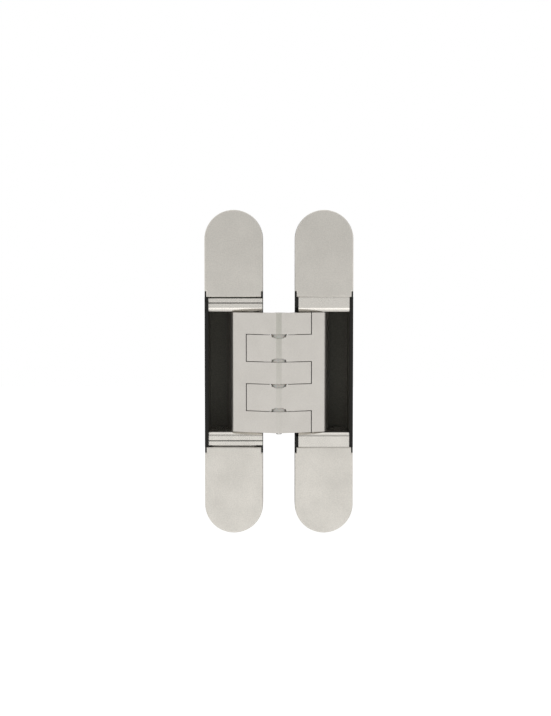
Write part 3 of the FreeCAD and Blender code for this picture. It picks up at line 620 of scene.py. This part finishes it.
# How the edges of each kind of piece are softened
edges = {
    "cover": {"width": mm(0.22), "steps": 3, "angle": 25},
    "arm": {"width": mm(0.16), "steps": 2, "angle": 25},
    "block": {
        "width": mm(0.13), "steps": 2, "angle": 15,
        "lip": {
            "start": mm(29.95), "long": mm(2.0), "radius": mm(2.83), "strips": 8,
            "slack": mm(0.01), "chamferSlack": mm(0.03), "reach": mm(0.05),
            "grooveFrom": mm(33.6), "grooveTo": mm(34.2), "grooveShift": mm(0.3),
            "grooveReach": mm(0.6), "grooveFloorFrom": mm(0.3),
            "plainEnd": mm(37.0), "plainShift": mm(0.12),
        },
    },
    "casting": {"width": mm(0.15), "steps": 2, "angle": 25},
    "turned": {"width": mm(0.12), "steps": 2, "angle": 25},
}
# What stands for each node: its body, its finish and its kind of edges
softPieces = [
    ("frame_housing", "frame", "black_casting", "casting"),
    ("door_housing", "door", "black_casting", "casting"),
    ("frame_cover_top", "frame", "satin_cover", "cover"),
    ("frame_cover_bottom", "frame", "satin_cover", "cover"),
    ("door_cover_top", "door", "satin_cover", "cover"),
    ("door_cover_bottom", "door", "satin_cover", "cover"),
    ("frame_block_top", "frame_carriage", "block_metal", "block"),
    ("frame_block_bottom", "frame_carriage", "block_metal", "block"),
    ("door_block_top", "door_carriage", "block_metal", "block"),
    ("door_block_bottom", "door_carriage", "block_metal", "block"),
    ("three_finger_arm", "three_finger_arm", "satin_silver", "arm"),
    ("two_finger_arm", "two_finger_arm", "satin_silver", "arm"),
    ("frame_pivot_pin", "frame_carriage", "pin_steel", "turned"),
    ("door_pivot_pin", "door_carriage", "pin_steel", "turned"),
    ("frame_slide_pin", "three_finger_arm", "pin_steel", "turned"),
    ("door_slide_pin", "two_finger_arm", "pin_steel", "turned"),
    ("centre_pin", "three_finger_arm", "pin_steel", "turned"),
]
# The housings' cavities, which are painted lighter as painted light: half their width, how far up
# and down and how deep they reach, and what still counts as a wall or floor of theirs
cavity = {
    "half": mm(12.9), "end": mm(50.4), "floor": mm(19.4),
    "backTurned": 0.5, "slack": mm(0.1),
}


def markHollow(mesh, node):
    low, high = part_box(node)
    middle = (low.x + high.x) / 2
    marks = mesh.attributes.new("hollow", "FLOAT", "FACE")
    for face, mark in zip(mesh.polygons, marks.data):
        across = face.center.x - middle
        height = face.center.z
        within = abs(across) < cavity["half"] and abs(height) < cavity["end"]
        facesIn = max(face.normal.x * across, face.normal.z * height) < cavity["slack"]
        inFront = face.center.y < cavity["floor"] and face.normal.y < cavity["backTurned"]
        mark.value = 1.0 if within and facesIn and inFront else 0.0


for node, body, slotName, kind in softPieces:
    mesh = softEdged(node, node + "Mesh", edges[kind])
    if kind == "casting":
        markHollow(mesh, node)
    finishPiece(node + "_look", mesh, body, slotName, [node])
print("softened", len(softPieces), "pieces")


# Geometry Nodes helpers

def makeTree(name, inputs):
    inputs = [("Geometry", "NodeSocketGeometry", None)] + inputs
    return makeGroup(name, inputs, [("Geometry", "NodeSocketGeometry")], "GeometryNodeTree")


def addNode(tree, kind, settings=None, links=None):
    node = tree.nodes.new(kind)
    for key, value in (settings or {}).items():
        setattr(node, key, value)
    for key, value in (links or {}).items():
        if isinstance(value, bpy.types.NodeSocket):
            tree.links.new(value, node.inputs[key])
        else:
            node.inputs[key].default_value = value
    return node


def treeMath(tree, operation, first, second=0.0):
    node = addNode(tree, "ShaderNodeMath", {"operation": operation}, {0: first, 1: second})
    return node.outputs[0]


# Sets the shape out on the given points and gives it its finish
def placeShape(tree, given, made, shape):
    points = {"Points": given.outputs["Geometry"], "Instance": shape}
    spots = addNode(tree, "GeometryNodeInstanceOnPoints", None, points)
    real = addNode(tree, "GeometryNodeRealizeInstances", None, {"Geometry": spots.outputs[0]})
    dressed = addNode(tree, "GeometryNodeSetMaterial", None, {
        "Geometry": real.outputs[0], "Material": given.outputs["Finish"],
    })
    tree.links.new(dressed.outputs[0], made.inputs[0])


def runTree(tree, name, points, values):
    base = bpy.data.meshes.new(name + "Points")
    base.from_pydata(points, [], [])
    piece = bpy.data.objects.new(name + "Work", base)
    scene.collection.objects.link(piece)
    modifier = piece.modifiers.new("build", "NODES")
    modifier.node_group = tree
    for item in tree.interface.items_tree:
        if item.in_out == "INPUT" and item.name in values:
            modifier[item.identifier] = values[item.name]
    mesh = evaluatedMesh(piece, name)
    work = bmesh.new()
    work.from_mesh(mesh)
    bmesh.ops.remove_doubles(work, verts=work.verts, dist=cleaning["builtWeld"])
    bmesh.ops.recalc_face_normals(work, faces=work.faces)
    work.to_mesh(mesh)
    work.free()
    mesh.shade_smooth()
    mesh.set_sharp_from_angle(angle=cleaning["sharp"])
    return mesh


# Rings: the bushes and washers are moulded rings with rounded rims, set out along their pins
ringTree, given, made = makeTree("ringsOnPins", [
    ("Bore", "NodeSocketFloat", 0.002),
    ("Outside", "NodeSocketFloat", 0.003),
    ("Length", "NodeSocketFloat", 0.001),
    ("Rim", "NodeSocketFloat", 0.0001),
    ("Steps", "NodeSocketInt", 64),
    ("Rim steps", "NodeSocketInt", 2),
    ("Finish", "NodeSocketMaterial", None),
])
bothRadii = treeMath(ringTree, "ADD", given.outputs["Bore"], given.outputs["Outside"])
middle = treeMath(ringTree, "MULTIPLY", bothRadii, 0.5)
wall = treeMath(ringTree, "SUBTRACT", given.outputs["Outside"], given.outputs["Bore"])
path = addNode(ringTree, "GeometryNodeCurvePrimitiveCircle", None, {
    "Resolution": given.outputs["Steps"], "Radius": middle,
})
section = addNode(ringTree, "GeometryNodeCurvePrimitiveQuadrilateral", None, {
    "Width": wall, "Height": given.outputs["Length"],
})
rounded = addNode(ringTree, "GeometryNodeFilletCurve", {"mode": "POLY"}, {
    "Curve": section.outputs[0], "Count": given.outputs["Rim steps"],
    "Radius": given.outputs["Rim"], "Limit Radius": True,
})
ring = addNode(ringTree, "GeometryNodeCurveToMesh", None, {
    "Curve": path.outputs[0], "Profile Curve": rounded.outputs[0],
})
placeShape(ringTree, given, made, ring.outputs[0])

ringSteps = {"around": 64, "rim": 2}
ringSets = {
    "frame_pivot_bushes": {
        "body": "two_finger_arm", "slot": "bush_plastic", "bore": mm(1.95), "rim": mm(0.12),
        "nodes": ["frame_pivot_bush_1", "frame_pivot_bush_2"],
    },
    "door_pivot_bushes": {
        "body": "three_finger_arm", "slot": "bush_plastic", "bore": mm(1.95), "rim": mm(0.12),
        "nodes": ["door_pivot_bush_1", "door_pivot_bush_2", "door_pivot_bush_3"],
    },
    "frame_slide_bushes": {
        "body": "three_finger_arm", "slot": "bush_plastic", "bore": mm(1.6), "rim": mm(0.25),
        "nodes": ["frame_slide_bush_top", "frame_slide_bush_bottom"],
    },
    "door_slide_bushes": {
        "body": "two_finger_arm", "slot": "bush_plastic", "bore": mm(1.6), "rim": mm(0.25),
        "nodes": ["door_slide_bush_top", "door_slide_bush_bottom"],
    },
    "centre_washers": {
        "body": "two_finger_arm", "slot": "washer_plastic", "bore": mm(2.05), "rim": mm(0.3),
        "nodes": ["centre_washer_1", "centre_washer_2", "centre_washer_3", "centre_washer_4"],
    },
}
for name, ringSet in ringSets.items():
    lengths = {}
    for node in ringSet["nodes"]:
        low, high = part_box(node)
        lengths.setdefault(round(high.z - low.z, 6), []).append(node)
    for number, (length, found) in enumerate(sorted(lengths.items()), start=1):
        label = name if len(lengths) == 1 else f"{name}_{number}"
        boxes = [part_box(node) for node in found]
        mesh = runTree(ringTree, label + "Mesh", [tuple((low + high) / 2) for low, high in boxes], {
            "Bore": ringSet["bore"],
            "Outside": (boxes[0][1].x - boxes[0][0].x) / 2,
            "Length": length,
            "Rim": ringSet["rim"],
            "Steps": ringSteps["around"],
            "Rim steps": ringSteps["rim"],
            "Finish": materials[ringSet["slot"]],
        })
        finishPiece(label, mesh, ringSet["body"], ringSet["slot"], found)
print("made the bushes and washers")


# Screws: a shank whose thread is cut into it, as a rolled-up grid
threadTree, given, made = makeTree("screwThread", [
    ("Radius", "NodeSocketFloat", 0.002),
    ("Length", "NodeSocketFloat", 0.008),
    ("Pitch", "NodeSocketFloat", 0.001),
    ("Depth", "NodeSocketFloat", 0.0003),
    ("Around", "NodeSocketInt", 49),
    ("Rows", "NodeSocketInt", 97),
    ("Cap", "NodeSocketFloat", 0.001),
    ("Finish", "NodeSocketMaterial", None),
])
grid = addNode(threadTree, "GeometryNodeMeshGrid", None, {
    "Size X": 1.0, "Size Y": 1.0,
    "Vertices X": given.outputs["Around"], "Vertices Y": given.outputs["Rows"],
})
spot = addNode(threadTree, "GeometryNodeInputPosition")
parted = addNode(threadTree, "ShaderNodeSeparateXYZ", None, {0: spot.outputs[0]})
turn = treeMath(threadTree, "ADD", parted.outputs["X"], 0.5)
down = treeMath(threadTree, "ADD", parted.outputs["Y"], 0.5)
angle = treeMath(threadTree, "MULTIPLY", turn, math.tau)
depth = treeMath(threadTree, "MULTIPLY", down, given.outputs["Length"])
pitches = treeMath(threadTree, "DIVIDE", depth, given.outputs["Pitch"])
phase = treeMath(threadTree, "SUBTRACT", pitches, turn)
valley = treeMath(threadTree, "MULTIPLY", treeMath(threadTree, "PINGPONG", phase, 0.5), 2.0)
groove = treeMath(threadTree, "MULTIPLY", valley, given.outputs["Depth"])
shankRadius = treeMath(threadTree, "SUBTRACT", given.outputs["Radius"], groove)
fromEnd = treeMath(threadTree, "MINIMUM", down, treeMath(threadTree, "SUBTRACT", 1.0, down))
isBody = treeMath(threadTree, "GREATER_THAN", fromEnd, given.outputs["Cap"])
shankRadius = treeMath(threadTree, "MULTIPLY", shankRadius, isBody)
moved = addNode(threadTree, "ShaderNodeCombineXYZ", None, {
    "X": treeMath(threadTree, "MULTIPLY", treeMath(threadTree, "COSINE", angle), shankRadius),
    "Y": depth,
    "Z": treeMath(threadTree, "MULTIPLY", treeMath(threadTree, "SINE", angle), shankRadius),
})
rolled = addNode(threadTree, "GeometryNodeSetPosition", None, {
    "Geometry": grid.outputs["Mesh"], "Position": moved.outputs[0],
})
placeShape(threadTree, given, made, rolled.outputs[0])

screws = {
    "shank": mm(2.0),
    "pitch": mm(0.7),
    "depth": mm(0.32),
    "headThick": mm(1.0),
    "stub": mm(0.4),  # of the solid's own shank, left under the head
    "stubInThread": 0.5,  # the share of it that the thread runs into
    "seatGap": mm(0.02),  # under the head, so that the block slides without rubbing
    "slack": mm(0.01),
    "around": 49,
    "rowsPerPitch": 12,
    "cap": 0.001,
    "edge": {"width": mm(0.12), "steps": 2, "angle": 25},
    "bodies": {
        "frame_clamp_screw_top": "frame",
        "frame_clamp_screw_bottom": "frame",
        "door_depth_screw_top": "door_screw_top",
        "door_depth_screw_bottom": "door_screw_bottom",
    },
}


def screwHead(node, cutAt):
    mesh = softEdged(node, node + "Head", screws["edge"])
    work = bmesh.new()
    work.from_mesh(mesh)
    everything = work.verts[:] + work.edges[:] + work.faces[:]
    bmesh.ops.bisect_plane(
        work, geom=everything, plane_co=(0, cutAt, 0), plane_no=(0, 1, 0), clear_outer=True
    )
    bmesh.ops.holes_fill(work, edges=[edge for edge in work.edges if edge.is_boundary])
    for vertex in work.verts:
        if abs(vertex.co.y - cutAt + screws["stub"]) < screws["slack"]:
            vertex.co.y -= screws["seatGap"]
    work.to_mesh(mesh)
    work.free()
    mesh.shade_smooth()
    mesh.set_sharp_from_angle(angle=cleaning["sharp"])
    return mesh


for node, body in screws["bodies"].items():
    low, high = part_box(node)
    across = (low.x + high.x) / 2
    height = (low.z + high.z) / 2
    seat = low.y + screws["headThick"]
    length = high.y - seat - screws["stub"] * screws["stubInThread"]
    rows = int(length / screws["pitch"] * screws["rowsPerPitch"])
    shank = runTree(threadTree, node + "Thread", [(across, high.y - length, height)], {
        "Radius": screws["shank"],
        "Length": length,
        "Pitch": screws["pitch"],
        "Depth": screws["depth"],
        "Around": screws["around"],
        "Rows": rows,
        "Cap": screws["cap"],
        "Finish": materials["screw_steel"],
    })
    work = bmesh.new()
    work.from_mesh(shank)
    work.from_mesh(screwHead(node, seat + screws["stub"]))
    mesh = bpy.data.meshes.new(node + "Mesh")
    work.to_mesh(mesh)
    work.free()
    finishPiece(node + "_look", mesh, body, "screw_steel", [node])
print("made the screws")


# How much a ray sees a surface, rather than is lit by it
def seenShare(tree):
    rays = tree.nodes.new("ShaderNodeLightPath").outputs
    seen = mathNode(tree, "MAXIMUM", rays["Is Camera Ray"], rays["Is Glossy Ray"])
    return mathNode(tree, "MAXIMUM", seen, rays["Is Transmission Ray"]), rays["Is Camera Ray"]


# Stage
stageSizes = {
    "floorHeight": -0.55, "floorHalf": 6.0, "squares": 8,
    "tone": (0.82, 0.82, 0.815, 1), "roughness": 0.9, "shine": 0.1, "lift": 0.62,
}
work = bmesh.new()
squares = stageSizes["squares"]
bmesh.ops.create_grid(work, x_segments=squares, y_segments=squares, size=stageSizes["floorHalf"])
floorMesh = bpy.data.meshes.new("floorMesh")
work.to_mesh(floorMesh)
work.free()
floor = bpy.data.objects.new("floor", floorMesh)
floor.location = (0, 0, stageSizes["floorHeight"])
scene.collection.objects.link(floor)
material, tree, shader = startMaterial("paleFloor")[:3]
shader.inputs["Base Color"].default_value = stageSizes["tone"]
shader.inputs["Roughness"].default_value = stageSizes["roughness"]
shader.inputs["Specular IOR Level"].default_value = stageSizes["shine"]
lift = mathNode(tree, "MULTIPLY", seenShare(tree)[0], stageSizes["lift"])
shader.inputs["Emission Color"].default_value = (1, 1, 1, 1)
tree.links.new(lift, shader.inputs["Emission Strength"])
floorMesh.materials.append(material)
floor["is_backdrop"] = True

# World: white where it is seen, softer where it only lights
worldSizes = {
    "seen": 1.0,
    "light": 0.55,
    "shade": 0.58,  # how bright the dark side behind the camera is
    "shadeTowards": (0, -0.96, 0.28),
    "shadeFrom": 0.72,
    "shadeFull": 0.99,
}
world = bpy.data.worlds.new("paleStudio")
scene.world = world
world.use_nodes = True
tree = world.node_tree
background = tree.nodes["Background"]
background.inputs["Color"].default_value = (1, 1, 1, 1)
seen, cameraRay = seenShare(tree)
strength = spread(tree, seen, worldSizes["light"], worldSizes["seen"], 0, 1)
heading = tree.nodes.new("ShaderNodeTexCoord").outputs["Generated"]
towards = tree.nodes.new("ShaderNodeVectorMath")
towards.operation = "DOT_PRODUCT"
tree.links.new(heading, towards.inputs[0])
towards.inputs[1].default_value = worldSizes["shadeTowards"]
shadeEnds = (worldSizes["shadeFrom"], worldSizes["shadeFull"])
shade = spread(tree, towards.outputs["Value"], 1.0, worldSizes["shade"], *shadeEnds)
shade = mathNode(tree, "MAXIMUM", shade, cameraRay)
tree.links.new(mathNode(tree, "MULTIPLY", strength, shade), background.inputs["Strength"])

# Lamps, all turned to the hinge's middle
hingeMiddle = (centrePin["across"], mm(-12), 0)
lamps = {
    "lowSoft": {"place": (0.02, -0.62, -0.46), "size": 0.75, "power": 0.95},
    "highSoft": {"place": (0.0, -0.8, 0.75), "size": 0.6, "power": 0.6},
    "leftSoft": {"place": (-0.95, -0.35, 0.1), "size": 0.5, "power": 0.3},
    "rightSoft": {"place": (0.95, -0.35, 0.1), "size": 0.5, "power": 0.3},
    "backSoft": {"place": (0.1, 0.9, 0.7), "size": 0.7, "power": 0.8},
}
for name, lamp in lamps.items():
    light = bpy.data.lights.new(name, "AREA")
    light.shape = "SQUARE"
    light.size = lamp["size"]
    light.energy = lamp["power"]
    holder = bpy.data.objects.new(name, light)
    holder.location = lamp["place"]
    holder.rotation_mode = "QUATERNION"
    heading = Vector(hingeMiddle) - Vector(lamp["place"])
    holder.rotation_quaternion = heading.to_track_quat("-Z", "Y")
    scene.collection.objects.link(holder)

# Camera: square on to the leaves from a little above, framed as the photograph is
camera = {
    "lens": 88.0, "sensor": 36.0, "raised": math.radians(4.2),
    "widthPixels": 551, "heightPixels": 716, "sees": (0.05, 30),
}
shown = {"length": 0.160, "lengthPixels": 323.1, "centrePixels": (278.9, 372.4)}
perPixel = shown["length"] * math.cos(camera["raised"]) / shown["lengthPixels"]
distance = perPixel * camera["heightPixels"] / 2 / (camera["sensor"] / 2 / camera["lens"])
back = Vector((0, -math.cos(camera["raised"]), math.sin(camera["raised"])))
up = Vector((0, math.sin(camera["raised"]), math.cos(camera["raised"])))
right = Vector((1, 0, 0))
aim = Vector(hingeMiddle)
aim += right * (camera["widthPixels"] / 2 - shown["centrePixels"][0]) * perPixel
aim += up * (shown["centrePixels"][1] - camera["heightPixels"] / 2) * perPixel
lensData = bpy.data.cameras.new("camera")
lensData.lens = camera["lens"]
lensData.sensor_width = camera["sensor"]
lensData.clip_start, lensData.clip_end = camera["sees"]
eye = bpy.data.objects.new("camera", lensData)
eye.location = aim + back * distance
eye.rotation_mode = "QUATERNION"
eye.rotation_quaternion = (-back).to_track_quat("-Z", "Y")
scene.collection.objects.link(eye)
scene.camera = eye
scene.view_settings.view_transform = "Standard"
print("set the stage, lamps and camera")

lookLow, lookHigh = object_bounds()
boxes = {"cad": [list(cadLow), list(cadHigh)], "look": [list(lookLow), list(lookHigh)]}
growth = (lookHigh - lookLow) - (cadHigh - cadLow)
print("box grew by", [round(side * 1000, 3) for side in growth], "mm")
